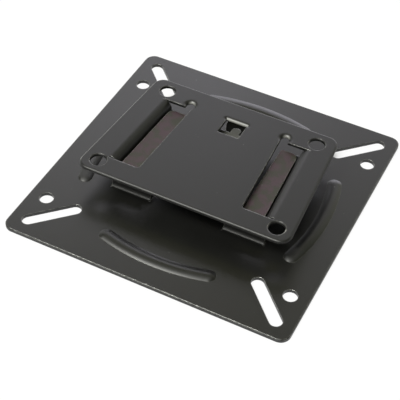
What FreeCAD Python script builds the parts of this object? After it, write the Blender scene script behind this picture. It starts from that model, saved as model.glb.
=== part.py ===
import FreeCAD, Part
import math
import os

os.makedirs("parts", exist_ok=True)

V = FreeCAD.Vector
UP = V(0, 0, 1)

# Hang-on wall mount of two pressed steel plates, lying on the face of its screen plate.
# Millimetres. The origin is the middle of the screen plate's underside, Z points to the wall.
# When the mount hangs, Y points down and the tongues of the screen plate point down too.

# Screen plate sheet, with the margin from the outermost screw centres to its edge
PLATE_MARGIN = 7.15
PLATE_SHEET = 1.5
PLATE_CORNER = 4.0
EDGE_BREAK = 0.3

# Hole pattern of the screen
PATTERN_WIDE = 100.0
PATTERN_NARROW = 75.0
SCREW_HOLE = 5.5
DIAGONAL_SLOT_WIDTH = 5.0
PLATE_SIDE = PATTERN_WIDE + 2 * PLATE_MARGIN

# Pressed stiffening beads
BEAD_MIDDLE = 45.9
BEAD_RADIUS = 75.0
BEAD_HALF_CHORD = 20.8
BEAD_HEIGHT = 0.8
BEAD_HALF_WIDTH = 2.8
GROOVE_FLOOR_HALF = 0.8
GROOVE_MOUTH_HALF = 2.2

# Hanging tongues lanced out of the screen plate
ROOT_BEND_INSIDE = 1.6
TOP_BEND_INSIDE = 1.0
LANCE_GAP = 0.2
LANCE_CORNER = 0.4
RISER_FACE_Y = -19.5
RISER_INNER_X = 15.2
RISER_OUTER_X = 31.8
TONGUE_TOP_Z = 11.3
TONGUE_TIP_Y = 19.3
TONGUE_ROOT_INNER_X = 20.8
TONGUE_ROOT_OUTER_X = 29.6
TONGUE_TIP_INNER_X = 20.5
TONGUE_TIP_OUTER_X = 27.4
TONGUE_OUTER_ROUND = 2.6
TONGUE_INNER_ROUND = 0.8
SHOULDER_Z = 6.5

# Middle catch tongue under the window
CATCH_FACE_Y = 4.0
CATCH_HALF_WIDTH = 7.2
CATCH_TOP_Z = 9.4
CATCH_SHOULDER_Y = 20.4
CATCH_NIB_WIDTH = 3.6
CATCH_NIB_TIP_Y = 23.8
CATCH_FLARE_NEAR_Y = 28.6
CATCH_FLARE_FAR_Y = 34.0
CATCH_FLARE_HALF = 9.4
CATCH_OPENING_END_Y = 36.5

# Wall plate sheet
WALL_SHEET = 1.2
WALL_TOP_Z = 14.0
WALL_NEAR_Y = -27.2
WALL_FAR_Y = 32.1
WALL_NEAR_HALF = 43.3
WALL_FAR_HALF = 39.3
WALL_CORNER = 4.5
WALL_EDGE_ROUND = 0.8

# Wall screw holes, with their insets from the side corner and from the edge
WALL_HOLE = 6.2
FAR_HOLE_SIDE_INSET = 7.1
FAR_HOLE_EDGE_INSET = 6.4
NEAR_HOLE_SIDE_INSET = 6.8
NEAR_HOLE_EDGE_INSET = 5.9

# Track slots in the wall plate, leaning outward toward the near end
SLOT_NEAR_Y = -18.2
SLOT_FAR_Y = 21.2
SLOT_INNER_FAR_X = 18.9
SLOT_INNER_NEAR_X = 21.2
SLOT_NEAR_CORNER = 1.2
TRACK_FAR_X = 27.9
TRACK_NEAR_X = 30.3

# Rolled track lips
LIP_ROLL_OUTSIDE = 3.5
LIP_TURN_INSIDE = 1.0
LIP_CLEARANCE = 0.4
LIP_RETURN = 5.0
LIP_RELIEF = 0.7
LIP_FAR_RELIEF = 0.2

# Notch at the far inner corner of each slot
NOTCH_INNER_X = 18.7
NOTCH_OUTER_X = 22.0
NOTCH_FAR_Y = 24.4

# Window
WINDOW_HALF = 4.4
WINDOW_NEAR_Y = 14.0
WINDOW_FAR_Y = 22.4
WINDOW_CORNER = 0.5

# Drawn-down rims at the far edge of the window and round the end of each notch
RIM_ROLL_RADIUS = 1.7
RIM_ROLL_DEPTH = 1.0

WALL_BOTTOM_Z = WALL_TOP_Z - WALL_SHEET

# How far a cut runs past the sheet it goes through
CUT_PAST = 1.0


def prism(points, z0, z1):
    ring = [V(x, y, z0) for x, y in points]
    face = Part.Face(Part.makePolygon(ring + ring[:1]))
    return face.extrude(V(0, 0, z1 - z0))


def soften_upright(solid, corners, radius):
    edges = []
    for edge in solid.Edges:
        first, last = edge.Vertexes[0].Point, edge.Vertexes[-1].Point
        upright = abs(first.x - last.x) + abs(first.y - last.y) < 1e-6
        if upright and any(math.hypot(first.x - x, first.y - y) < 1e-3 for x, y in corners):
            edges.append(edge)
    return solid.makeFillet(radius, edges)


def break_outline(solid, z, size):
    edges = [e for e in solid.Edges if all(abs(v.Point.z - z) < 1e-6 for v in e.Vertexes)]
    return solid.makeChamfer(size, edges)


def round_outline(solid, z, radius):
    edges = [e for e in solid.Edges if all(abs(v.Point.z - z) < 1e-6 for v in e.Vertexes)]
    return solid.makeFillet(radius, edges)


def rounded_prism(points, z0, z1, radius):
    return soften_upright(prism(points, z0, z1), points, radius)


def round_cut(x, y, diameter, z0, z1):
    return Part.makeCylinder(diameter / 2, z1 - z0, V(x, y, z0))


def slot_cut(start, end, width, z0, z1):
    sx, sy = start
    ex, ey = end
    length = math.hypot(ex - sx, ey - sy)
    nx = -(ey - sy) / length * width / 2
    ny = (ex - sx) / length * width / 2
    body = prism([(sx + nx, sy + ny), (sx - nx, sy - ny), (ex - nx, ey - ny), (ex + nx, ey + ny)], z0, z1)
    ends = [round_cut(sx, sy, width, z0, z1), round_cut(ex, ey, width, z0, z1)]
    return body.fuse(ends)


def mirrored(points):
    return [(-x, y) for x, y in points][::-1]


# Beads: one cross-section, swept round an arc and closed by a half dome at each end

def bead_ridge_section(half):
    # Round crown, one circular arc from foot to foot
    radius = (BEAD_HALF_WIDTH ** 2 + BEAD_HEIGHT ** 2) / (2 * BEAD_HEIGHT)
    root = -PLATE_SHEET / 2

    def crown(x):
        return V(x, 0, BEAD_HEIGHT - radius + math.sqrt(radius ** 2 - x ** 2))

    foot = V(BEAD_HALF_WIDTH, 0, 0)
    under = V(BEAD_HALF_WIDTH, 0, root)
    if half:
        middle = V(0, 0, root)
        edges = [Part.Arc(crown(0), crown(BEAD_HALF_WIDTH / 2), foot).toShape(), Part.makeLine(foot, under),
                 Part.makeLine(under, middle), Part.makeLine(middle, crown(0))]
    else:
        left_foot = V(-foot.x, 0, 0)
        left_under = V(-under.x, 0, root)
        edges = [Part.Arc(left_foot, crown(0), foot).toShape(), Part.makeLine(foot, under),
                 Part.makeLine(under, left_under), Part.makeLine(left_under, left_foot)]
    return Part.Face(Part.Wire(edges))


def bead_groove_section(half):
    # Channel in the underside, its floor one sheet thickness below the crest
    floor = BEAD_HEIGHT - PLATE_SHEET
    base = -PLATE_SHEET - CUT_PAST
    right = [V(GROOVE_FLOOR_HALF, 0, floor), V(GROOVE_MOUTH_HALF, 0, -PLATE_SHEET)]
    right.append(V(GROOVE_MOUTH_HALF, 0, base))
    if half:
        ring = [V(0, 0, floor)] + right + [V(0, 0, base)]
    else:
        ring = right + [V(-p.x, 0, p.z) for p in reversed(right)]
    return Part.Face(Part.makePolygon(ring + ring[:1]))


def bead(section):
    # Drawn for the near side: the middle of the arc lies at y = -BEAD_MIDDLE
    sweep = math.degrees(math.asin(BEAD_HALF_CHORD / BEAD_RADIUS))
    hub = V(0, BEAD_RADIUS - BEAD_MIDDLE, PLATE_SHEET)
    whole = section(False)
    whole.translate(V(BEAD_RADIUS, 0, 0))
    whole.rotate(V(0, 0, 0), UP, -90 - sweep)
    pieces = [whole.revolve(V(0, 0, 0), UP, 2 * sweep)]
    for side in (-1, 1):
        dome = section(True).revolve(V(0, 0, 0), UP, side * 180)
        dome.translate(V(BEAD_RADIUS, 0, 0))
        dome.rotate(V(0, 0, 0), UP, -90 + side * sweep)
        pieces.append(dome)
    body = pieces[0].fuse(pieces[1:])
    body.translate(hub)
    return body


# A lanced tongue: the sheet turns up at the root, stands as a riser and turns over to +Y

def tongue_strip(face_y, top_z, tip_y, x0, x1):
    t = PLATE_SHEET
    root = ROOT_BEND_INSIDE
    turn = TOP_BEND_INSIDE
    c = math.sqrt(0.5)
    low_y, low_z = face_y - root, t + root
    high_y, high_z = face_y + t + turn, top_z - t - turn

    def p(y, z):
        return V(x0, y, z)

    def arc(y, z, radius, start, middle, end):
        points = [p(y + radius * a, z + radius * b) for a, b in (start, middle, end)]
        return Part.Arc(*points).toShape()

    edges = [
        arc(low_y, low_z, root, (0, -1), (c, -c), (1, 0)),
        Part.makeLine(p(face_y, low_z), p(face_y, high_z)),
        arc(high_y, high_z, turn + t, (-1, 0), (-c, c), (0, 1)),
        Part.makeLine(p(high_y, top_z), p(tip_y, top_z)),
        Part.makeLine(p(tip_y, top_z), p(tip_y, top_z - t)),
        Part.makeLine(p(tip_y, top_z - t), p(high_y, top_z - t)),
        arc(high_y, high_z, turn, (0, 1), (-c, c), (-1, 0)),
        Part.makeLine(p(face_y + t, high_z), p(face_y + t, low_z)),
        arc(low_y, low_z, root + t, (1, 0), (c, -c), (0, -1)),
        Part.makeLine(p(low_y, 0), p(low_y, t)),
    ]
    face = Part.Face(Part.Wire(edges))
    return face.extrude(V(x1 - x0, 0, 0))


def blank_end(top_z, tip_y):
    # Where the tip lay before the tongue was turned up, from the length along the middle of the sheet
    bends = ROOT_BEND_INSIDE + TOP_BEND_INSIDE
    turns = math.pi / 2 * (bends + PLATE_SHEET)
    riser = top_z - 2 * PLATE_SHEET - bends
    return tip_y + turns + riser - (PLATE_SHEET + bends)


def hanging_tongue():
    body = tongue_strip(RISER_FACE_Y, TONGUE_TOP_Z, TONGUE_TIP_Y, RISER_INNER_X, RISER_OUTER_X)
    turn_y = RISER_FACE_Y + PLATE_SHEET + TOP_BEND_INSIDE
    start_y = RISER_FACE_Y - CUT_PAST
    plan = prism([(TONGUE_ROOT_INNER_X, start_y), (TONGUE_ROOT_OUTER_X, start_y),
                  (TONGUE_ROOT_OUTER_X, turn_y), (TONGUE_TIP_OUTER_X, TONGUE_TIP_Y),
                  (TONGUE_TIP_INNER_X, TONGUE_TIP_Y), (TONGUE_ROOT_INNER_X, turn_y)],
                 SHOULDER_Z, TONGUE_TOP_Z + CUT_PAST)
    plan = soften_upright(plan, [(TONGUE_TIP_OUTER_X, TONGUE_TIP_Y)], TONGUE_OUTER_ROUND)
    plan = soften_upright(plan, [(TONGUE_TIP_INNER_X, TONGUE_TIP_Y)], TONGUE_INNER_ROUND)
    # The riser keeps its full width up to the shoulders, which slope in to the tongue
    slope = RISER_OUTER_X - TONGUE_ROOT_OUTER_X
    inset = TONGUE_ROOT_INNER_X - RISER_INNER_X
    front_y = RISER_FACE_Y - ROOT_BEND_INSIDE - CUT_PAST
    ring = [V(RISER_INNER_X, front_y, -CUT_PAST), V(RISER_OUTER_X, front_y, -CUT_PAST),
            V(RISER_OUTER_X, front_y, SHOULDER_Z - slope), V(TONGUE_ROOT_OUTER_X, front_y, SHOULDER_Z),
            V(TONGUE_ROOT_INNER_X, front_y, SHOULDER_Z), V(RISER_INNER_X, front_y, SHOULDER_Z - inset / 2)]
    front = Part.Face(Part.makePolygon(ring + ring[:1])).extrude(V(0, turn_y - front_y, 0))
    return body.common(plan.fuse(front))


def catch_tongue():
    body = tongue_strip(CATCH_FACE_Y, CATCH_TOP_Z, CATCH_NIB_TIP_Y, -CATCH_HALF_WIDTH, CATCH_HALF_WIDTH)
    nib = CATCH_NIB_WIDTH / 2
    root_y = CATCH_FACE_Y - ROOT_BEND_INSIDE - CUT_PAST
    plan = [(-CATCH_HALF_WIDTH, root_y), (CATCH_HALF_WIDTH, root_y),
            (CATCH_HALF_WIDTH, CATCH_SHOULDER_Y), (nib, CATCH_SHOULDER_Y), (nib, CATCH_NIB_TIP_Y),
            (-nib, CATCH_NIB_TIP_Y), (-nib, CATCH_SHOULDER_Y), (-CATCH_HALF_WIDTH, CATCH_SHOULDER_Y)]
    outline = prism(plan, -CUT_PAST, CATCH_TOP_Z + CUT_PAST)
    outline = soften_upright(outline, [(nib, CATCH_NIB_TIP_Y), (-nib, CATCH_NIB_TIP_Y)], nib * 0.95)
    outline = soften_upright(outline, [(CATCH_HALF_WIDTH, CATCH_SHOULDER_Y),
                                       (-CATCH_HALF_WIDTH, CATCH_SHOULDER_Y)], 1.0)
    return body.common(outline)


# Screen plate

def screen_plate():
    half = PLATE_SIDE / 2
    corners = [(-half, -half), (half, -half), (half, half), (-half, half)]
    plate = rounded_prism(corners, 0, PLATE_SHEET, PLATE_CORNER)
    plate = break_outline(plate, PLATE_SHEET, EDGE_BREAK)

    ridge = bead(bead_ridge_section)
    groove = bead(bead_groove_section)
    for quarter in range(4):
        turn = FreeCAD.Rotation(UP, 90 * quarter)
        high = ridge.copy()
        high.Placement = FreeCAD.Placement(V(0, 0, 0), turn).multiply(high.Placement)
        low = groove.copy()
        low.Placement = FreeCAD.Placement(V(0, 0, 0), turn).multiply(low.Placement)
        plate = plate.fuse(high).cut(low)

    wide = PATTERN_WIDE / 2
    narrow = PATTERN_NARROW / 2
    cuts = []
    for sx in (-1, 1):
        for sy in (-1, 1):
            cuts.append(round_cut(sx * wide, sy * narrow, SCREW_HOLE, -CUT_PAST, PLATE_SHEET + CUT_PAST))
            cuts.append(slot_cut((sx * narrow, sy * narrow), (sx * wide, sy * wide),
                                 DIAGONAL_SLOT_WIDTH, -CUT_PAST, PLATE_SHEET + CUT_PAST))

    # Openings left in the sheet where the tongues were lanced
    root_y = RISER_FACE_Y - ROOT_BEND_INSIDE
    waist_y = root_y + SHOULDER_Z
    end_y = blank_end(TONGUE_TOP_Z, TONGUE_TIP_Y) + LANCE_GAP
    lance = [(RISER_INNER_X - LANCE_GAP, root_y), (RISER_OUTER_X + LANCE_GAP, root_y),
             (RISER_OUTER_X + LANCE_GAP, waist_y),
             (TONGUE_ROOT_OUTER_X + LANCE_GAP, waist_y + RISER_OUTER_X - TONGUE_ROOT_OUTER_X),
             (TONGUE_TIP_OUTER_X + LANCE_GAP, end_y), (TONGUE_TIP_INNER_X - LANCE_GAP, end_y),
             (TONGUE_ROOT_INNER_X - LANCE_GAP, waist_y + TONGUE_ROOT_INNER_X - RISER_INNER_X),
             (RISER_INNER_X - LANCE_GAP, waist_y)]
    for points in (lance, mirrored(lance)):
        cuts.append(rounded_prism(points, -CUT_PAST, PLATE_SHEET + CUT_PAST, LANCE_CORNER))
    # The middle opening flares past the tip of its tongue
    side = CATCH_HALF_WIDTH + LANCE_GAP
    catch_root = CATCH_FACE_Y - ROOT_BEND_INSIDE
    right_side = [(side, catch_root), (side, CATCH_FLARE_NEAR_Y),
                  (CATCH_FLARE_HALF, CATCH_FLARE_FAR_Y), (CATCH_FLARE_HALF, CATCH_OPENING_END_Y)]
    ring = right_side + mirrored(right_side)
    cuts.append(rounded_prism(ring, -CUT_PAST, PLATE_SHEET + CUT_PAST, LANCE_CORNER))
    plate = plate.cut(cuts)

    right = hanging_tongue()
    left = right.mirror(V(0, 0, 0), V(1, 0, 0))
    plate = plate.fuse([right, left, catch_tongue()])
    return plate.removeSplitter()


# Wall plate

def track_frame():
    # The track's line on the +X side, from the near end to the far end, and its outward normal
    near = V(TRACK_NEAR_X, SLOT_NEAR_Y, 0)
    far = V(TRACK_FAR_X, SLOT_FAR_Y, 0)
    along = (far - near).normalize()
    outward = V(along.y, -along.x, 0)
    return near, along, outward


def track_x(y, offset=0.0):
    near, along, outward = track_frame()
    base = near + outward * offset
    return base.x + along.x / along.y * (y - base.y)


def track_lip():
    near, along, outward = track_frame()
    t = WALL_SHEET
    big = LIP_ROLL_OUTSIDE
    small = LIP_TURN_INSIDE
    c = math.sqrt(0.5)
    shelf = TONGUE_TOP_Z - PLATE_SHEET - LIP_CLEARANCE
    roll_z = WALL_TOP_Z - big
    turn_z = shelf + small

    def p(u, z):
        return near + outward * u + V(0, 0, z)

    edges = [
        Part.makeLine(p(big, WALL_BOTTOM_Z), p(big, WALL_TOP_Z)),
        Part.Arc(p(big, WALL_TOP_Z), p(big - big * c, roll_z + big * c), p(0, roll_z)).toShape(),
        Part.makeLine(p(0, roll_z), p(0, turn_z)),
        Part.Arc(p(0, turn_z), p(-small + small * c, turn_z - small * c), p(-small, shelf)).toShape(),
        Part.makeLine(p(-small, shelf), p(-small - LIP_RETURN, shelf)),
        Part.makeLine(p(-small - LIP_RETURN, shelf), p(-small - LIP_RETURN, shelf - t)),
        Part.makeLine(p(-small - LIP_RETURN, shelf - t), p(-small, shelf - t)),
        Part.Arc(p(-small, shelf - t), p(-small + (small + t) * c, turn_z - (small + t) * c),
                 p(t, turn_z)).toShape(),
        Part.makeLine(p(t, turn_z), p(t, roll_z)),
        Part.Arc(p(t, roll_z), p(big - (big - t) * c, roll_z + (big - t) * c),
                 p(big, WALL_BOTTOM_Z)).toShape(),
    ]
    lip = Part.Face(Part.Wire(edges)).extrude(along * (SLOT_FAR_Y - SLOT_NEAR_Y + LIP_ROLL_OUTSIDE))
    keep_near = SLOT_NEAR_Y + LIP_RELIEF
    keep_far = SLOT_FAR_Y - LIP_FAR_RELIEF
    keep = prism([(0, keep_near), (WALL_NEAR_HALF, keep_near), (WALL_NEAR_HALF, keep_far), (0, keep_far)],
                 0, WALL_TOP_Z + CUT_PAST)
    return lip.common(keep)


def rim_section(edge):
    # What is taken off the top of a cut edge to leave it round, drawn in XZ from the edge outward
    run = math.sqrt(2 * RIM_ROLL_RADIUS * RIM_ROLL_DEPTH - RIM_ROLL_DEPTH ** 2)
    half_turn = math.asin(run / RIM_ROLL_RADIUS) / 2
    low = V(edge, 0, WALL_TOP_Z - RIM_ROLL_DEPTH)
    high = V(edge + run, 0, WALL_TOP_Z)
    middle = V(high.x - RIM_ROLL_RADIUS * math.sin(half_turn), 0,
               WALL_TOP_Z - RIM_ROLL_RADIUS * (1 - math.cos(half_turn)))
    lid = WALL_TOP_Z + CUT_PAST
    edges = [
        Part.Arc(low, middle, high).toShape(),
        Part.makeLine(high, V(high.x, 0, lid)),
        Part.makeLine(V(high.x, 0, lid), V(0, 0, lid)),
        Part.makeLine(V(0, 0, lid), V(0, 0, low.z)),
    ]
    if edge > 0:
        edges.append(Part.makeLine(V(0, 0, low.z), low))
    return Part.Face(Part.Wire(edges))


def rim_dimple(x, y, edge):
    body = rim_section(edge).revolve(V(0, 0, 0), UP, 360)
    body.translate(V(x, y, 0))
    return body


def rim_roll(half, edge_y):
    # Straight roll along the far edge, with a dimple at each corner to close it
    section = rim_section(0)
    section.rotate(V(0, 0, 0), UP, 90)
    section.translate(V(-half, edge_y, 0))
    straight = section.extrude(V(2 * half, 0, 0))
    return straight.fuse([rim_dimple(-half, edge_y, 0), rim_dimple(half, edge_y, 0)])


def wall_plate():
    outline = [(-WALL_NEAR_HALF, WALL_NEAR_Y), (WALL_NEAR_HALF, WALL_NEAR_Y),
               (WALL_FAR_HALF, WALL_FAR_Y), (-WALL_FAR_HALF, WALL_FAR_Y)]
    plate = rounded_prism(outline, WALL_BOTTOM_Z, WALL_TOP_Z, WALL_CORNER)
    plate = round_outline(plate, WALL_TOP_Z, WALL_EDGE_ROUND)

    low = WALL_BOTTOM_Z - CUT_PAST
    high = WALL_TOP_Z + CUT_PAST
    cuts = []
    far_hole = (WALL_FAR_HALF - FAR_HOLE_SIDE_INSET, WALL_FAR_Y - FAR_HOLE_EDGE_INSET)
    near_hole = (WALL_NEAR_HALF - NEAR_HOLE_SIDE_INSET, WALL_NEAR_Y + NEAR_HOLE_EDGE_INSET)
    for x, y in (far_hole, near_hole):
        for sx in (-1, 1):
            cuts.append(round_cut(sx * x, y, WALL_HOLE, low, high))
            rim = WALL_HOLE / 2 + EDGE_BREAK
            rim_z = WALL_TOP_Z - EDGE_BREAK
            cuts.append(Part.makeCone(WALL_HOLE / 2, rim, EDGE_BREAK, V(sx * x, y, rim_z)))

    window = [(-WINDOW_HALF, WINDOW_NEAR_Y), (WINDOW_HALF, WINDOW_NEAR_Y),
              (WINDOW_HALF, WINDOW_FAR_Y), (-WINDOW_HALF, WINDOW_FAR_Y)]
    cuts.append(rounded_prism(window, low, high, WINDOW_CORNER))

    # Each slot is open from its inner edge to the line where the lip starts to roll
    roll = LIP_ROLL_OUTSIDE
    notch_round = (NOTCH_OUTER_X - NOTCH_INNER_X) / 2
    notch_x = (NOTCH_OUTER_X + NOTCH_INNER_X) / 2
    notch_y = NOTCH_FAR_Y - notch_round
    slot = [(SLOT_INNER_NEAR_X, SLOT_NEAR_Y), (track_x(SLOT_NEAR_Y, roll), SLOT_NEAR_Y),
            (track_x(SLOT_FAR_Y, roll), SLOT_FAR_Y), (NOTCH_OUTER_X, SLOT_FAR_Y),
            (NOTCH_OUTER_X, notch_y), (NOTCH_INNER_X, notch_y), (SLOT_INNER_FAR_X, SLOT_FAR_Y)]
    for points in (slot, mirrored(slot)):
        opening = prism(points, low, high)
        for corner, radius in ((slot[0], SLOT_NEAR_CORNER), (slot[1], LIP_RELIEF / 2)):
            opening = soften_upright(opening, [corner] + mirrored([corner]), radius)
        cuts.append(opening)
    cuts.append(rim_roll(WINDOW_HALF, WINDOW_FAR_Y))
    for sx in (-1, 1):
        cuts.append(round_cut(sx * notch_x, notch_y, 2 * notch_round, low, high))
        cuts.append(rim_dimple(sx * notch_x, notch_y, notch_round))
    plate = plate.cut(cuts)

    right = track_lip()
    left = right.mirror(V(0, 0, 0), V(1, 0, 0))
    plate = plate.fuse([right, left])
    return plate.removeSplitter()


NODES = {
    "screen_plate": screen_plate(),
    "wall_plate": wall_plate(),
}

for name, shape in NODES.items():
    if not shape.isValid() or len(shape.Solids) != 1:
        raise RuntimeError(name + " is not one sound solid")
    shape.Solids[0].exportStep("parts/" + name + ".step")
    box = shape.BoundBox
    print(name, round(box.XLength, 2), round(box.YLength, 2), round(box.ZLength, 2), round(shape.Volume, 1))
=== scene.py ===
"""Finishes and studio for a hang-on wall mount of two pressed steel plates."""

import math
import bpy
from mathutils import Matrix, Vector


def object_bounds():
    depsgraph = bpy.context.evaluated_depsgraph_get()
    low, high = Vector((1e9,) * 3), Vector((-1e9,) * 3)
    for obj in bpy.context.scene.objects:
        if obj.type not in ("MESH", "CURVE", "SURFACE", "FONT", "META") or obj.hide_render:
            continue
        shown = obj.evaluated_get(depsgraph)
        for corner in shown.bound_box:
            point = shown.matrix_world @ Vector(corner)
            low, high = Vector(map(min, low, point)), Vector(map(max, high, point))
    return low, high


bl_info = {
    "name": "Hang-on Wall Mount",
    "version": (1, 0, 0),
    "blender": (4, 5, 0),
    "location": "3D View > Sidebar > Wall Mount",
    "description": "Satin black paint for the screen plate and the wall plate, and a plain studio",
    "category": "Object",
}

import bpy
from mathutils import Vector

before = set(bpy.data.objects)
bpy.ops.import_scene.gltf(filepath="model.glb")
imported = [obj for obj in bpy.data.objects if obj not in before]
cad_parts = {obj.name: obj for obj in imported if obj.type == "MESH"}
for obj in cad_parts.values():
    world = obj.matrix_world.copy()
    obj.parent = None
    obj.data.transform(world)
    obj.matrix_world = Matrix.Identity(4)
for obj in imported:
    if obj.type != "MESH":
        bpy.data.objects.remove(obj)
CAD_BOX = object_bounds()

MILLIMETRE = 0.001
EDITOR_STEP = 150

# Camera, as solved from the photograph
PHOTO_SIDE = 400
PHOTO_FOCAL = 1124.42
SENSOR = 36.0
CAMERA_NEAR = 0.01

# Paint of both plates
COAT_IOR = 1.5
SCREEN_SHINE = 0.5
WALL_SHINE = 0.40
CLOUD_SPAN = (0.32, 0.68)
STREAK_SPAN = (0.3, 0.7)
STREAK_GLOSS = 0.06
PEEL_STRENGTH = 0.35
PEEL_DEPTH = 0.02 * MILLIMETRE
FINE_PEEL_TIMES = 3.1
FINE_PEEL_SHARE = 0.35

# Rubbed edges, lightened partly as wear and partly as painted highlights, and dust from handling
EDGE_TURN = (0.008, 0.08)
EDGE_PATCH_SPAN = (0.36, 0.62)
EDGE_PATCH_LEAST = 0.15
STEEL_SHARE = 0.4
RUB_POLISH = 0.12
DUST_SPAN = (0.05, 0.13)
DUST_PATCH_SCALE = 190.0
DUST_PATCH_SPAN = (0.60, 0.72)
DUST_TONE = (0.45, 0.45, 0.44, 1.0)
DUST_MATT = 0.3

# Screen plate: tops of the tongues, risers under them and top of the middle catch
TONGUE_LEVEL = 11.0 * MILLIMETRE
TONGUE_FADE = 0.6 * MILLIMETRE
TONGUE_MATT = 0.2
MOTTLE_SCALE = 260.0
MOTTLE_SPAN = (0.40, 0.60)
RISER_FAR_Y = -16.5 * MILLIMETRE
RISER_NEAR_Y = -25.0 * MILLIMETRE
RISER_FOOT = 1.6 * MILLIMETRE
RISER_FADE = 0.4 * MILLIMETRE
RISER_MATT = 0.2
CATCH_LEVEL = 9.3 * MILLIMETRE
CATCH_FADE = 0.5 * MILLIMETRE
CATCH_HALF = 8.0 * MILLIMETRE
CATCH_SIDE_FADE = 1.0 * MILLIMETRE

# Wall plate: painted highlights on the rims along its outline, and on the drawn-down rims of its window and
# notches.
# A facing span is a range of one part of the surface's normal, over which a mask fades.
RIM_INSIDE_X = 37.5 * MILLIMETRE
RIM_INSIDE_Y = 29.5 * MILLIMETRE
RIM_HIGHLIGHT = 0.9
TILTED_FACING = (0.55, 0.97)
UPWARD_FACING = (0.0, 0.2)
NEAR_FACING = (-0.35, -0.1)
RIGHT_FACING = (0.1, 0.35)
NEAR_WEAR_AND_HIGHLIGHT = 0.25
DRAWN_INSIDE_X = 24.0 * MILLIMETRE
DRAWN_FROM_Y = 21.6 * MILLIMETRE
DRAWN_FACING = (-0.75, -0.30)
DRAWN_HIGHLIGHT = 0.4

# Floor and room. The floor is painted dark right under the plates as a painted shadow, except to rays
# shorter than SHADE_CLEAR, which come from the underside that rests on it.
FLOOR_GAP = 0.02 * MILLIMETRE
FLOOR_REACH = 3.0
FLOOR_SIDES = 64
FLOOR_WHITE_SHARE = 0.93
BACKDROP_RISE = 0.7
SHADE_HALF_X = 34.0 * MILLIMETRE
SHADE_HALF_Y = 31.0 * MILLIMETRE
SHADE_MIDDLE_Y = 5.0 * MILLIMETRE
SHADE_FADE = 6.0 * MILLIMETRE
SHADE_LEVEL = 0.025
SHADE_CLEAR = 1.0 * MILLIMETRE
ROOM_TONE = (1.0, 1.03, 0.48, 1.0)

# Bearing, height, distance, size and tint of each lamp
LAMPS = {
    "key_lamp": (-36.0, 37.5, 1.2, (0.52, 0.42), (1.0, 0.985, 1.07)),
    "middle_lamp": (-9.0, 26.0, 1.2, (0.67, 0.92), (1.0, 0.98, 1.08)),
    "fill_lamp": (24.0, 28.0, 1.2, (0.62, 0.85), (1.0, 1.0, 0.86)),
    "upper_lamp": (-24.0, 60.0, 1.2, (0.90, 0.25), (1.0, 1.0, 0.45)),
    "front_lamp": (206.0, 56.0, 1.0, (0.60, 0.28), (1.0, 1.0, 0.92)),
    "side_lamp": (-58.0, 24.0, 1.2, (0.66, 0.70), (1.0, 1.0, 1.0)),
    "low_lamp": (-9.0, 14.0, 1.2, (1.00, 0.50), (1.0, 0.98, 1.12)),
    "over_lamp": (-24.0, 86.0, 1.2, (0.90, 0.50), (1.0, 1.0, 0.95)),
    "glint_lamp": (206.0, 56.0, 1.0, (0.60, 0.22), (1.0, 1.0, 1.02)),
}


# Settings


class MountCoatSettings(bpy.types.PropertyGroup):
    """Colours and surface of the coats on the two plates"""

    screen_tone: bpy.props.FloatVectorProperty(
        name="Screen plate tone", description="Black paint of the screen plate",
        subtype="COLOR", min=0.0, max=1.0, default=(0.005, 0.005, 0.0046),
    )
    wall_tone: bpy.props.FloatVectorProperty(
        name="Wall plate tone", description="Black paint of the wall plate",
        subtype="COLOR", min=0.0, max=1.0, default=(0.006, 0.006, 0.006),
    )
    tongue_tone: bpy.props.FloatVectorProperty(
        name="Tongue tone", description="Paint of the raised tongues, tempered to a warm violet in patches",
        subtype="COLOR", min=0.0, max=1.0, default=(0.0275, 0.0098, 0.0162),
    )
    tongue_dull_tone: bpy.props.FloatVectorProperty(
        name="Tongue dull tone",
        description="Paint of the raised tongues between those patches, a dull olive",
        subtype="COLOR", min=0.0, max=1.0, default=(0.0104, 0.0106, 0.0016),
    )
    # Painted light: the top of the middle catch is painted pale so that it reads as lit
    catch_painted_light_tone: bpy.props.FloatVectorProperty(
        name="Catch tone", description="Top of the middle catch tongue, rubbed pale by the wall plate",
        subtype="COLOR", min=0.0, max=1.0, default=(0.08, 0.08, 0.077),
    )
    # Pale steel tone of rubbed edges, which also paints highlights along the edges and rims
    bare_and_highlight_tone: bpy.props.FloatVectorProperty(
        name="Rubbed steel", description="Steel that shows where an edge is rubbed bare",
        subtype="COLOR", min=0.0, max=1.0, default=(0.42, 0.42, 0.41),
    )
    screen_gloss: bpy.props.FloatProperty(
        name="Screen plate roughness", description="Mean roughness of the screen plate's coat",
        subtype="FACTOR", min=0.0, max=1.0, default=0.34,
    )
    wall_gloss: bpy.props.FloatProperty(
        name="Wall plate roughness", description="Mean roughness of the wall plate's coat",
        subtype="FACTOR", min=0.0, max=1.0, default=0.39,
    )
    edge_round: bpy.props.FloatProperty(
        name="Edge round", description="Radius over which a sheared edge catches the light",
        subtype="DISTANCE", unit="LENGTH", min=0.0, default=0.4 * MILLIMETRE,
    )
    # Radius of the wall plate's edge wear and painted highlight
    wall_edge_round: bpy.props.FloatProperty(
        name="Wall plate edge round", description="Radius over which the wall plate's edges are rubbed",
        subtype="DISTANCE", unit="LENGTH", min=0.0, default=0.6 * MILLIMETRE,
    )


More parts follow.
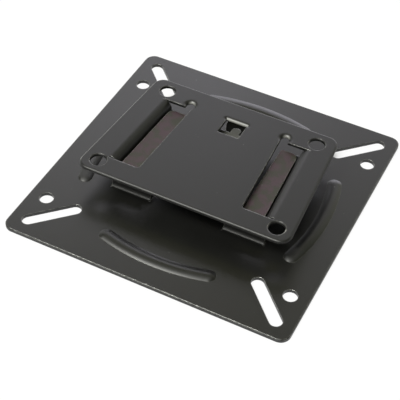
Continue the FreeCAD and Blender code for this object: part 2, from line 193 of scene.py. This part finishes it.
class MountStageSettings(bpy.types.PropertyGroup):
    """Camera, lamps and floor"""

    camera_place: bpy.props.FloatVectorProperty(
        name="Camera place", description="Where the camera stands",
        subtype="TRANSLATION", unit="LENGTH", default=(0.12644, -0.27818, 0.30552),
    )
    camera_turn: bpy.props.FloatVectorProperty(
        name="Camera turn", description="How the camera is turned",
        subtype="EULER", default=tuple(math.radians(a) for a in (44.1161, -1.6707, 26.8384)),
    )
    floor_tone: bpy.props.FloatVectorProperty(
        name="Floor", description="Pale floor under the mount",
        subtype="COLOR", min=0.0, max=1.0, default=(0.90, 0.90, 0.90),
    )
    room_level: bpy.props.FloatProperty(
        name="Room level", description="Even light of the room",
        min=0.0, default=0.10,
    )
    key_power: bpy.props.FloatProperty(
        name="Key lamp", description="Power of the large soft lamp behind the mount's left side",
        unit="POWER", min=0.0, default=1.6,
    )
    middle_power: bpy.props.FloatProperty(
        name="Middle lamp", description="Power of the soft lamp straight behind the mount",
        unit="POWER", min=0.0, default=2.3,
    )
    front_power: bpy.props.FloatProperty(
        name="Front lamp", description="Power of the slim soft lamp in front of the mount",
        unit="POWER", min=0.0, default=12.5,
    )
    fill_power: bpy.props.FloatProperty(
        name="Fill lamp", description="Power of the large dim lamp behind the mount's right side",
        unit="POWER", min=0.0, default=1.6,
    )
    upper_power: bpy.props.FloatProperty(
        name="Upper lamp", description="Power of the slim lamp above the back lamps",
        unit="POWER", min=0.0, default=0.31,
    )
    side_power: bpy.props.FloatProperty(
        name="Side lamp", description="Power of the dim lamp to the left of the key lamp",
        unit="POWER", min=0.0, default=1.15,
    )
    low_power: bpy.props.FloatProperty(
        name="Low lamp", description="Power of the cool lamp low behind the mount",
        unit="POWER", min=0.0, default=2.1,
    )
    over_power: bpy.props.FloatProperty(
        name="Overhead lamp", description="Power of the dim lamp straight above the mount",
        unit="POWER", min=0.0, default=1.2,
    )
    glint_power: bpy.props.FloatProperty(
        name="Glint lamp", description="Power of the lamp in front that only glossy surfaces reflect",
        unit="POWER", min=0.0, default=8.5,
    )


# Node helpers


def add_node(tree, kind, at, **values):
    """A node of that kind at a place in the editor, with its attributes set."""
    node = tree.nodes.new(kind)
    node.location = at
    for name, value in values.items():
        setattr(node, name, value)
    return node


def math_node(tree, operation, at, first, second=None, clamp=False):
    """A Math node whose inputs are sockets or numbers."""
    node = add_node(tree, "ShaderNodeMath", at, operation=operation, use_clamp=clamp)
    for socket, value in zip(node.inputs, (first, second)):
        if isinstance(value, bpy.types.NodeSocket):
            tree.links.new(value, socket)
        elif value is not None:
            socket.default_value = value
    return node.outputs[0]


def mix_colour(tree, at, factor, first, second, blend="MIX"):
    """A Mix node for colours whose inputs are sockets, numbers or colours."""
    node = add_node(tree, "ShaderNodeMix", at, data_type="RGBA", blend_type=blend)
    for index, value in ((0, factor), (6, first), (7, second)):
        if isinstance(value, bpy.types.NodeSocket):
            tree.links.new(value, node.inputs[index])
        else:
            node.inputs[index].default_value = value
    return node.outputs[2]


def ramp(tree, at, value, low, high, out_low, out_high):
    """A smooth Map Range from one span of values to another."""
    node = add_node(tree, "ShaderNodeMapRange", at, interpolation_type="SMOOTHSTEP")
    tree.links.new(value, node.inputs["Value"])
    for name, number in (("From Min", low), ("From Max", high), ("To Min", out_low), ("To Max", out_high)):
        node.inputs[name].default_value = number
    return node.outputs["Result"]


def new_group(name, inputs, outputs):
    """An empty shader node group with float inputs and named outputs, and its two end nodes."""
    tree = bpy.data.node_groups.new(name, "ShaderNodeTree")
    for label, default in inputs:
        socket = tree.interface.new_socket(label, in_out="INPUT", socket_type="NodeSocketFloat")
        socket.default_value = default
    for label, kind in outputs:
        tree.interface.new_socket(label, in_out="OUTPUT", socket_type=kind)
    start = add_node(tree, "NodeGroupInput", (-900, 0))
    end = add_node(tree, "NodeGroupOutput", (900, 0))
    return tree, start, end


def noise(tree, at, vector, scale, detail=3.0, rough=0.55):
    """A Noise Texture read at the given coordinates."""
    node = add_node(tree, "ShaderNodeTexNoise", at)
    tree.links.new(vector, node.inputs["Vector"])
    if isinstance(scale, bpy.types.NodeSocket):
        tree.links.new(scale, node.inputs["Scale"])
    else:
        node.inputs["Scale"].default_value = scale
    node.inputs["Detail"].default_value = detail
    node.inputs["Roughness"].default_value = rough
    return node.outputs["Fac"]


def object_place(tree, at):
    """Object coordinates."""
    return add_node(tree, "ShaderNodeTexCoord", at).outputs["Object"]


def split(tree, at, vector):
    """The X, Y and Z of a vector."""
    node = add_node(tree, "ShaderNodeSeparateXYZ", at)
    tree.links.new(vector, node.inputs["Vector"])
    return node.outputs


def product(tree, at, first, *others):
    """Several masks multiplied, in a row of Math nodes."""
    for step, other in enumerate(others):
        first = math_node(tree, "MULTIPLY", (at[0] + EDITOR_STEP * step, at[1]), first, other)
    return first


def opaque(tone, times=1.0):
    """A tone times a number, as a colour with full alpha."""
    return tuple(part * times for part in tone) + (1.0,)


def new_material(name, at):
    """A material with nothing but its output node, its tree and that node."""
    material = bpy.data.materials.new(name)
    material.use_nodes = True
    material.node_tree.nodes.clear()
    return material, material.node_tree, add_node(material.node_tree, "ShaderNodeOutputMaterial", at)


# Shared effects


def coat_grain_group():
    """Fine peel of the coat, and the slow cloudiness that comes with it."""
    tree, start, end = new_group(
        "Coat Grain",
        [("Peel Scale", 1800.0), ("Cloud Scale", 60.0)],
        [("Height", "NodeSocketFloat"), ("Cloud", "NodeSocketFloat")],
    )
    place = object_place(tree, (-900, -250))
    peel = noise(tree, (-500, 150), place, start.outputs["Peel Scale"], 2.0, 0.5)
    finer = math_node(tree, "MULTIPLY", (-700, -50), start.outputs["Peel Scale"], FINE_PEEL_TIMES)
    speck = noise(tree, (-500, -50), place, finer, 1.0)
    speck = math_node(tree, "MULTIPLY", (-250, -50), speck, FINE_PEEL_SHARE)
    cloud = noise(tree, (-500, -300), place, start.outputs["Cloud Scale"], 4.0, 0.6)
    height = math_node(tree, "ADD", (0, 100), peel, speck)
    tree.links.new(height, end.inputs["Height"])
    tree.links.new(cloud, end.inputs["Cloud"])
    return tree


def edge_wear_and_highlight_group():
    """Where an edge is rubbed and painted with a highlight, and the softened normal that lets it catch the
    light.
    """
    tree, start, end = new_group(
        "Edge Rub",
        [("Radius", 0.25 * MILLIMETRE), ("Break Up", 700.0)],
        [("Mask", "NodeSocketFloat"), ("Normal", "NodeSocketVector")],
    )
    soft = add_node(tree, "ShaderNodeBevel", (-600, 100), samples=6)
    tree.links.new(start.outputs["Radius"], soft.inputs["Radius"])
    true_normal = add_node(tree, "ShaderNodeNewGeometry", (-600, -100)).outputs["Normal"]
    facing = add_node(tree, "ShaderNodeVectorMath", (-350, 50), operation="DOT_PRODUCT")
    tree.links.new(soft.outputs["Normal"], facing.inputs[0])
    tree.links.new(true_normal, facing.inputs[1])
    turn = math_node(tree, "SUBTRACT", (-150, 50), 1.0, facing.outputs["Value"])
    edge = ramp(tree, (50, 50), turn, *EDGE_TURN, 0.0, 1.0)
    spots = noise(tree, (-350, -300), object_place(tree, (-600, -350)), start.outputs["Break Up"], 3.0)
    patches = ramp(tree, (50, -250), spots, *EDGE_PATCH_SPAN, EDGE_PATCH_LEAST, 1.0)
    tree.links.new(math_node(tree, "MULTIPLY", (350, 0), edge, patches), end.inputs["Mask"])
    tree.links.new(soft.outputs["Normal"], end.inputs["Normal"])
    return tree


def rolling_streak_group():
    """Faint lines left by rolling the sheet, along the plate's Y."""
    tree, start, end = new_group(
        "Rolling Streaks",
        [("Across Scale", 900.0), ("Along Scale", 25.0)],
        [("Streak", "NodeSocketFloat")],
    )
    stretch = add_node(tree, "ShaderNodeCombineXYZ", (-650, 100))
    tree.links.new(start.outputs["Across Scale"], stretch.inputs["X"])
    tree.links.new(start.outputs["Along Scale"], stretch.inputs["Y"])
    tree.links.new(start.outputs["Along Scale"], stretch.inputs["Z"])
    drawn = add_node(tree, "ShaderNodeVectorMath", (-450, 0), operation="MULTIPLY")
    tree.links.new(object_place(tree, (-900, -250)), drawn.inputs[0])
    tree.links.new(stretch.outputs["Vector"], drawn.inputs[1])
    streak = noise(tree, (-200, 0), drawn.outputs["Vector"], 1.0, 3.0, 0.6)
    tree.links.new(streak, end.inputs["Streak"])
    return tree


def handling_group():
    """Sparse specks of dust from handling."""
    tree, start, end = new_group(
        "Handling Marks",
        [("Speck Scale", 420.0), ("Amount", 0.5)],
        [("Mask", "NodeSocketFloat")],
    )
    place = object_place(tree, (-900, -250))
    cells = add_node(tree, "ShaderNodeTexVoronoi", (-600, 100), feature="F1")
    tree.links.new(place, cells.inputs["Vector"])
    tree.links.new(start.outputs["Speck Scale"], cells.inputs["Scale"])
    dots = ramp(tree, (-350, 100), cells.outputs["Distance"], *DUST_SPAN, 1.0, 0.0)
    spots = noise(tree, (-600, -150), place, DUST_PATCH_SCALE, 2.0)
    few = ramp(tree, (-350, -150), spots, *DUST_PATCH_SPAN, 0.0, 1.0)
    marks = product(tree, (0, 0), dots, few, start.outputs["Amount"])
    tree.links.new(marks, end.inputs["Mask"])
    return tree


GROUP_MAKERS = {
    "Coat Grain": coat_grain_group,
    "Edge Rub": edge_wear_and_highlight_group,
    "Rolling Streaks": rolling_streak_group,
    "Handling Marks": handling_group,
}


def place_group(tree, name, at, **values):
    """A node of a shared effect in a material, made on first use, with its own values."""
    group = bpy.data.node_groups.get(name) or GROUP_MAKERS[name]()
    node = add_node(tree, "ShaderNodeGroup", at, node_tree=group)
    for label, value in values.items():
        node.inputs[label.replace("_", " ")].default_value = value
    return node


# Coats


def rim_highlight_masks(tree):
    """Where the wall plate's rims carry painted highlights, and how much of its edges' own wear and painted
    highlight stays.

    The painted highlights lie on the rounded far and left rims and on the drawn-down rims of its cut-outs.
    """
    coordinates = add_node(tree, "ShaderNodeTexCoord", (-1300, 900))
    place = split(tree, (-1100, 1000), coordinates.outputs["Object"])
    facing = split(tree, (-1100, 800), coordinates.outputs["Normal"])
    across = math_node(tree, "ABSOLUTE", (-900, 1100), place["X"])
    along = math_node(tree, "ABSOLUTE", (-900, 950), place["Y"])
    beside = math_node(tree, "GREATER_THAN", (-700, 1100), across, RIM_INSIDE_X)
    beyond = math_node(tree, "GREATER_THAN", (-700, 950), along, RIM_INSIDE_Y)
    outer = math_node(tree, "MAXIMUM", (-500, 1050), beside, beyond)
    tilted = ramp(tree, (-700, 800), facing["Z"], *TILTED_FACING, 1.0, 0.0)
    above = ramp(tree, (-700, 600), facing["Z"], *UPWARD_FACING, 0.0, 1.0)
    away = ramp(tree, (-700, 400), facing["Y"], *NEAR_FACING, 0.0, 1.0)
    left = ramp(tree, (-700, 200), facing["X"], *RIGHT_FACING, 1.0, 0.0)
    rim = product(tree, (-300, 900), outer, tilted, above, away, left)
    drawn = ramp(tree, (-700, 0), facing["Y"], *DRAWN_FACING, DRAWN_HIGHLIGHT, 0.0)
    inside = math_node(tree, "LESS_THAN", (-700, -200), across, DRAWN_INSIDE_X)
    far_end = math_node(tree, "GREATER_THAN", (-700, -350), place["Y"], DRAWN_FROM_Y)
    drawn = product(tree, (-300, 0), drawn, inside, far_end, above)
    kept = ramp(tree, (-700, -500), facing["Y"], *NEAR_FACING, NEAR_WEAR_AND_HIGHLIGHT, 1.0)
    return math_node(tree, "MAXIMUM", (300, 500), rim, drawn), kept


def tongue_masks(tree):
    """The screen plate's tongue tops, the patches on them, its catch top and its dull risers."""
    coordinates = object_place(tree, (-600, 600))
    place = split(tree, (-400, 600), coordinates)
    top = ramp(tree, (-150, 600), place["Z"], TONGUE_LEVEL - TONGUE_FADE, TONGUE_LEVEL, 0.0, 1.0)
    spots = noise(tree, (-400, 800), coordinates, MOTTLE_SCALE, 4.0, 0.6)
    mottle = ramp(tree, (-150, 800), spots, *MOTTLE_SPAN, 0.0, 1.0)
    across = math_node(tree, "ABSOLUTE", (-250, 1000), place["X"])
    middle = ramp(tree, (-50, 1000), across, CATCH_HALF, CATCH_HALF + CATCH_SIDE_FADE, 1.0, 0.0)
    on_top = ramp(tree, (-50, 1200), place["Z"], CATCH_LEVEL - CATCH_FADE, CATCH_LEVEL, 0.0, 1.0)
    catch = math_node(tree, "MULTIPLY", (150, 1100), middle, on_top)
    before = math_node(tree, "LESS_THAN", (-150, -900), place["Y"], RISER_FAR_Y)
    behind = math_node(tree, "GREATER_THAN", (-150, -1050), place["Y"], RISER_NEAR_Y)
    lifted = ramp(tree, (-150, -1200), place["Z"], RISER_FOOT, RISER_FOOT + RISER_FADE, 0.0, RISER_MATT)
    return top, mottle, catch, product(tree, (50, -950), before, behind, lifted)


def coat_material(name, tone, rough, shine_level, coats, peel, cloudy, streaky, specks, edge_round, wear_and_highlight_level,
                  tongues=False, rims=False):
    """Satin black paint on pressed steel, with rubbed edges that also carry painted highlights."""
    material, tree, out = new_material(name, (1500, 0))
    shader = add_node(tree, "ShaderNodeBsdfPrincipled", (1150, 0))
    tree.links.new(shader.outputs["BSDF"], out.inputs["Surface"])
    shader.inputs["IOR"].default_value = COAT_IOR
    shader.inputs["Specular IOR Level"].default_value = shine_level

    grain = place_group(tree, "Coat Grain", (-600, 300), Peel_Scale=peel)
    edge = place_group(tree, "Edge Rub", (-600, 0), Radius=edge_round)
    streak = place_group(tree, "Rolling Streaks", (-600, -250))
    marks = place_group(tree, "Handling Marks", (-600, -500), Amount=specks)

    cloud = ramp(tree, (-300, 350), grain.outputs["Cloud"], *CLOUD_SPAN, 0.0, 1.0)
    base = mix_colour(tree, (0, 350), cloud, opaque(tone, 1 - cloudy), opaque(tone, 1 + cloudy))
    lined = ramp(tree, (-300, 0), streak.outputs["Streak"], *STREAK_SPAN, 1 - streaky, 1 + streaky)
    grey = add_node(tree, "ShaderNodeCombineColor", (-50, 0))
    for socket in grey.inputs:
        tree.links.new(lined, socket)
    base = mix_colour(tree, (250, 250), 1.0, base, grey.outputs["Color"], "MULTIPLY")
    if tongues:
        top, mottle, catch, riser = tongue_masks(tree)
        tones = opaque(coats.tongue_dull_tone), opaque(coats.tongue_tone)
        patchy = mix_colour(tree, (100, 700), mottle, *tones)
        base = mix_colour(tree, (375, 450), top, base, patchy)
        # Painted light: the catch top is painted pale so that it reads as lit
        base = mix_colour(tree, (450, 650), catch, base, opaque(coats.catch_painted_light_tone))
    edge_wear_and_highlight = edge.outputs["Mask"]
    if rims:
        rim, kept = rim_highlight_masks(tree)
        edge_wear_and_highlight = math_node(tree, "MULTIPLY", (50, -150), edge_wear_and_highlight, kept)
    wear_and_highlight = math_node(tree, "MULTIPLY", (250, -50), edge_wear_and_highlight, wear_and_highlight_level)
    # Painted highlight: the rim and drawn-rim masks lighten those rims toward the pale steel tone
    if rims:
        rim = math_node(tree, "MULTIPLY", (250, 100), rim, RIM_HIGHLIGHT)
        wear_and_highlight = math_node(tree, "MAXIMUM", (400, -50), wear_and_highlight, rim)
    # Edges and rims are lightened toward the pale steel tone: partly wear, partly painted highlight
    base = mix_colour(tree, (500, 200), wear_and_highlight, base, opaque(coats.bare_and_highlight_tone))
    base = mix_colour(tree, (750, 150), marks.outputs["Mask"], base, DUST_TONE)
    tree.links.new(base, shader.inputs["Base Color"])
    steel = math_node(tree, "MULTIPLY", (900, 250), edge_wear_and_highlight, STEEL_SHARE)
    tree.links.new(steel, shader.inputs["Metallic"])

    dull = math_node(tree, "MULTIPLY_ADD", (300, -250), streak.outputs["Streak"], STREAK_GLOSS)
    dull.node.inputs[2].default_value = rough - STREAK_GLOSS / 2
    polish = math_node(tree, "MULTIPLY", (300, -450), edge_wear_and_highlight, RUB_POLISH)
    dull = math_node(tree, "SUBTRACT", (550, -250), dull, polish)
    dust = math_node(tree, "MULTIPLY", (550, -450), marks.outputs["Mask"], DUST_MATT)
    dull = math_node(tree, "ADD", (800, -250), dull, dust, True)
    if tongues:
        matt = math_node(tree, "MULTIPLY", (600, -700), top, TONGUE_MATT)
        matt = math_node(tree, "MAXIMUM", (800, -700), matt, riser)
        dull = math_node(tree, "ADD", (1000, -250), dull, matt, True)
    tree.links.new(dull, shader.inputs["Roughness"])

    bump = add_node(tree, "ShaderNodeBump", (850, -550))
    bump.inputs["Strength"].default_value = PEEL_STRENGTH
    bump.inputs["Distance"].default_value = PEEL_DEPTH
    tree.links.new(grain.outputs["Height"], bump.inputs["Height"])
    tree.links.new(edge.outputs["Normal"], bump.inputs["Normal"])
    tree.links.new(bump.outputs["Normal"], shader.inputs["Normal"])
    return material


def coat_node(name, material):
    """Gives a packed plate its coat as its only material."""
    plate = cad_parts.get(name)
    if plate is None:
        raise RuntimeError("The frame has no plate named " + name)
    plate.data.materials.clear()
    plate.data.materials.append(material)


class MOUNT_OT_screen_plate(bpy.types.Operator):
    """Coat the screen plate, its beads and its lanced tongues"""

    bl_idname = "mount.screen_plate"
    bl_label = "Screen Plate"

    def execute(self, context):
        coats = context.scene.mount_coats
        coat_node("screen_plate", coat_material(
            "Screen Plate Coat", coats.screen_tone, coats.screen_gloss, SCREEN_SHINE, coats,
            peel=1500.0, cloudy=0.07, streaky=0.05, specks=0.25,
            edge_round=coats.edge_round, wear_and_highlight_level=0.6, tongues=True))
        return {"FINISHED"}


class MOUNT_OT_wall_plate(bpy.types.Operator):
    """Coat the wall plate, its rolled tracks and its notched slots"""

    bl_idname = "mount.wall_plate"
    bl_label = "Wall Plate"

    def execute(self, context):
        coats = context.scene.mount_coats
        coat_node("wall_plate", coat_material(
            "Wall Plate Coat", coats.wall_tone, coats.wall_gloss, WALL_SHINE, coats,
            peel=1700.0, cloudy=0.05, streaky=0.04, specks=0.2,
            edge_round=coats.wall_edge_round, wear_and_highlight_level=0.45, rims=True))
        return {"FINISHED"}


# Stage


def soft_lamp(name, power, bearing, height, distance, size, tint):
    """An area lamp that faces the middle of the mount, at a bearing from +Y and a height in degrees."""
    turn, rise = math.radians(bearing), math.radians(height)
    outwards = Vector((math.cos(rise) * math.sin(turn), math.cos(rise) * math.cos(turn), math.sin(rise)))
    place = distance * outwards
    data = bpy.data.lights.new(name, "AREA")
    data.shape = "RECTANGLE"
    data.size, data.size_y = size
    data.energy = power
    data.color = tint
    lamp = bpy.data.objects.new(name, data)
    lamp.location = place
    lamp.rotation_euler = (-place).to_track_quat("-Z", "Y").to_euler()
    bpy.context.scene.collection.objects.link(lamp)
    return lamp


def floor_mesh(low):
    """A round floor at that height with an upright backdrop along its rim, both facing inwards."""
    mesh = bpy.data.meshes.new("studio_floor")
    angles = [2 * math.pi * step / FLOOR_SIDES for step in range(FLOOR_SIDES)]
    rim = [(FLOOR_REACH * math.cos(angle), FLOOR_REACH * math.sin(angle)) for angle in angles]
    points = [(x, y, low) for x, y in rim] + [(x, y, low + BACKDROP_RISE) for x, y in rim]
    faces = [tuple(range(FLOOR_SIDES))]
    for step in range(FLOOR_SIDES):
        after = (step + 1) % FLOOR_SIDES
        faces.append((after, step, FLOOR_SIDES + step, FLOOR_SIDES + after))
    mesh.from_pydata(points, [], faces)
    return mesh


def floor_shade(tree):
    """Where the floor lies right under the plates, which gets a painted shadow."""
    place = split(tree, (-600, 450), object_place(tree, (-800, 450)))
    across = math_node(tree, "ABSOLUTE", (-400, 550), place["X"])
    wide = ramp(tree, (-200, 550), across, SHADE_HALF_X, SHADE_HALF_X + SHADE_FADE, 1.0, 0.0)
    along = math_node(tree, "SUBTRACT", (-500, 400), place["Y"], SHADE_MIDDLE_Y)
    along = math_node(tree, "ABSOLUTE", (-350, 400), along)
    deep = ramp(tree, (-200, 400), along, SHADE_HALF_Y, SHADE_HALF_Y + SHADE_FADE, 1.0, 0.0)
    return math_node(tree, "MULTIPLY", (-50, 450), wide, deep)


def floor_material(tone):
    """Pale floor that the camera and glossy surfaces see as white, with a soft shadow on it.

    It is painted dark right under the plates as a painted shadow, and clear from below.
    """
    material, tree, out = new_material("Studio Floor", (700, 0))
    under = floor_shade(tree)
    matt = add_node(tree, "ShaderNodeBsdfDiffuse", (0, -150))
    # Painted shadow: the floor's colour is darkened right under the plates
    shaded = mix_colour(tree, (-200, -150), under, opaque(tone), opaque(tone, SHADE_LEVEL))
    tree.links.new(shaded, matt.inputs["Color"])
    white = add_node(tree, "ShaderNodeEmission", (0, 100))
    white.inputs["Color"].default_value = (1.0, 1.0, 1.0, 1.0)
    white.inputs["Strength"].default_value = 1.0

    path = add_node(tree, "ShaderNodeLightPath", (-600, 100)).outputs
    seen = math_node(tree, "MAXIMUM", (-400, 100), path["Is Camera Ray"], path["Is Glossy Ray"])
    seen = math_node(tree, "MAXIMUM", (-250, 100), seen, path["Is Transmission Ray"])
    apart = math_node(tree, "GREATER_THAN", (-200, 700), path["Ray Length"], SHADE_CLEAR)
    shown = math_node(tree, "MULTIPLY", (0, 600), under, apart)
    open_floor = math_node(tree, "SUBTRACT", (50, 450), 1.0, shown)
    share = product(tree, (0, 300), seen, open_floor, FLOOR_WHITE_SHARE)
    mix = add_node(tree, "ShaderNodeMixShader", (300, 0))
    tree.links.new(share, mix.inputs["Fac"])
    tree.links.new(matt.outputs["BSDF"], mix.inputs[1])
    tree.links.new(white.outputs["Emission"], mix.inputs[2])

    clear = add_node(tree, "ShaderNodeBsdfTransparent", (300, -200))
    below = add_node(tree, "ShaderNodeNewGeometry", (100, -350)).outputs["Backfacing"]
    one_sided = add_node(tree, "ShaderNodeMixShader", (500, 0))
    tree.links.new(below, one_sided.inputs["Fac"])
    tree.links.new(mix.outputs["Shader"], one_sided.inputs[1])
    tree.links.new(clear.outputs["BSDF"], one_sided.inputs[2])
    tree.links.new(one_sided.outputs["Shader"], out.inputs["Surface"])
    return material


class MOUNT_OT_stage(bpy.types.Operator):
    """Set the floor, the room light, the lamps and the camera"""

    bl_idname = "mount.stage"
    bl_label = "Studio"

    def execute(self, context):
        stage = context.scene.mount_stage
        scene = context.scene
        scene.view_settings.view_transform = "Standard"

        floor = bpy.data.objects.new("studio_floor", floor_mesh(CAD_BOX[0].z - FLOOR_GAP))
        floor.data.materials.append(floor_material(stage.floor_tone))
        scene.collection.objects.link(floor)

        world = bpy.data.worlds.new("Studio Room")
        world.use_nodes = True
        sky = world.node_tree.nodes["Background"]
        sky.inputs["Color"].default_value = ROOM_TONE
        sky.inputs["Strength"].default_value = stage.room_level
        scene.world = world

        for name, setting in LAMPS.items():
            power = getattr(stage, name.replace("_lamp", "_power"))
            lamp = soft_lamp(name, power, *setting)
            lamp.visible_diffuse = name != "glint_lamp"

        data = bpy.data.cameras.new("photo_camera")
        data.sensor_width = SENSOR
        data.lens = PHOTO_FOCAL / PHOTO_SIDE * SENSOR
        data.clip_start = CAMERA_NEAR
        camera = bpy.data.objects.new("photo_camera", data)
        camera.location = stage.camera_place
        camera.rotation_euler = stage.camera_turn
        scene.collection.objects.link(camera)
        scene.camera = camera
        return {"FINISHED"}


# Panel and registration


class MOUNT_PT_sidebar(bpy.types.Panel):
    """Steps that finish the mount and set its studio"""

    bl_idname = "MOUNT_PT_sidebar"
    bl_label = "Wall Mount"
    bl_space_type = "VIEW_3D"
    bl_region_type = "UI"
    bl_category = "Wall Mount"

    def draw(self, context):
        layout = self.layout
        for settings in (context.scene.mount_coats, context.scene.mount_stage):
            column = layout.column()
            for name in settings.__annotations__:
                column.prop(settings, name)
        for step in STEPS:
            layout.operator(step.bl_idname)


STEPS = (MOUNT_OT_screen_plate, MOUNT_OT_wall_plate, MOUNT_OT_stage)
CLASSES = (MountCoatSettings, MountStageSettings) + STEPS + (MOUNT_PT_sidebar,)


def register():
    for cls in CLASSES:
        bpy.utils.register_class(cls)
    bpy.types.Scene.mount_coats = bpy.props.PointerProperty(type=MountCoatSettings)
    bpy.types.Scene.mount_stage = bpy.props.PointerProperty(type=MountStageSettings)


def unregister():
    del bpy.types.Scene.mount_stage
    del bpy.types.Scene.mount_coats
    for cls in reversed(CLASSES):
        bpy.utils.unregister_class(cls)


def main():
    register()
    bpy.ops.mount.screen_plate()
    bpy.ops.mount.wall_plate()
    bpy.ops.mount.stage()


if __name__ == "__main__":
    main()
